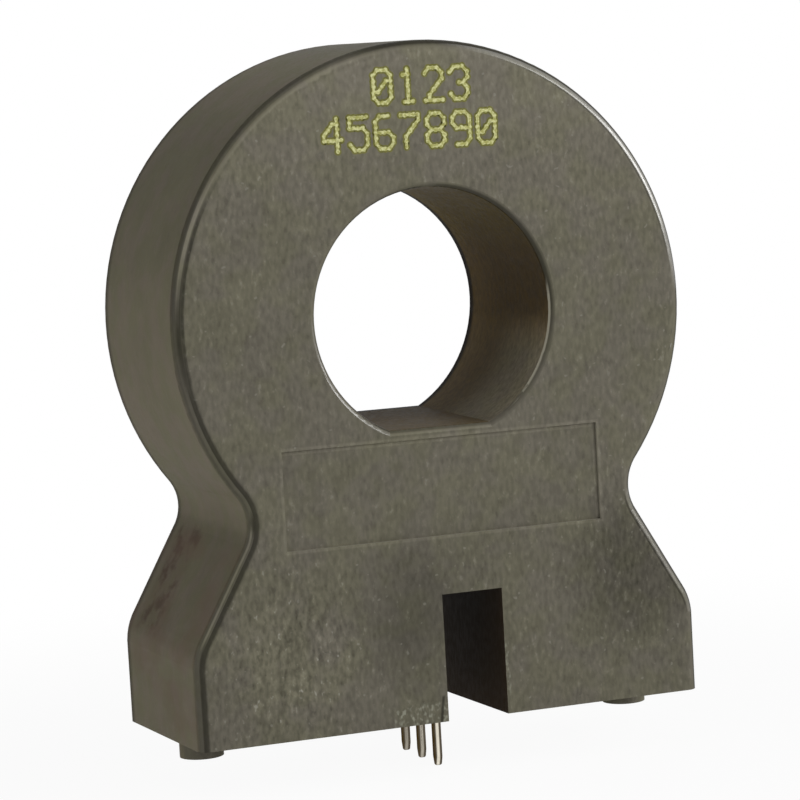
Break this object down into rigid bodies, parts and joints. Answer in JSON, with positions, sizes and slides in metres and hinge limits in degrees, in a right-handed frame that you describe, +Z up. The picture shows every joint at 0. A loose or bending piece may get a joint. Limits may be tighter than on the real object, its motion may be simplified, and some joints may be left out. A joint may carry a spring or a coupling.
{
  "type": "current sensor",
  "caption": "Board-mounted ring current sensor: moulded housing on a flared base, through window with a flat, slotted foot and a row of solder leads.",
  "frame": {"origin": "midway between the two feet, on the board plane that the feet stand on", "axes": "+Z up from the board, -Y out of the marked face along the window axis, +X to the right seen from the marked face"},
  "size_m": [0.0306, 0.0126, 0.0414],
  "materials": {
    "housing_plastic": "fine moulded grain, satin, dark olive grey",
    "core_ferrite": "ground, matt",
    "plate_ceramic": "matt",
    "chip_resin": "matt",
    "tinned_lead": "bright tin, slightly dull",
    "potting_resin": "cast resin, glossy with a slight ripple"
  },
  "bodies": {
    "root": {"housing": "housing_plastic", "core_ring": "core_ferrite", "hall_plate": "plate_ceramic", "hall_chip": "chip_resin", "lead_supply": "tinned_lead", "lead_common": "tinned_lead", "lead_output": "tinned_lead", "potting": "potting_resin"}
  },
  "joints": []
}
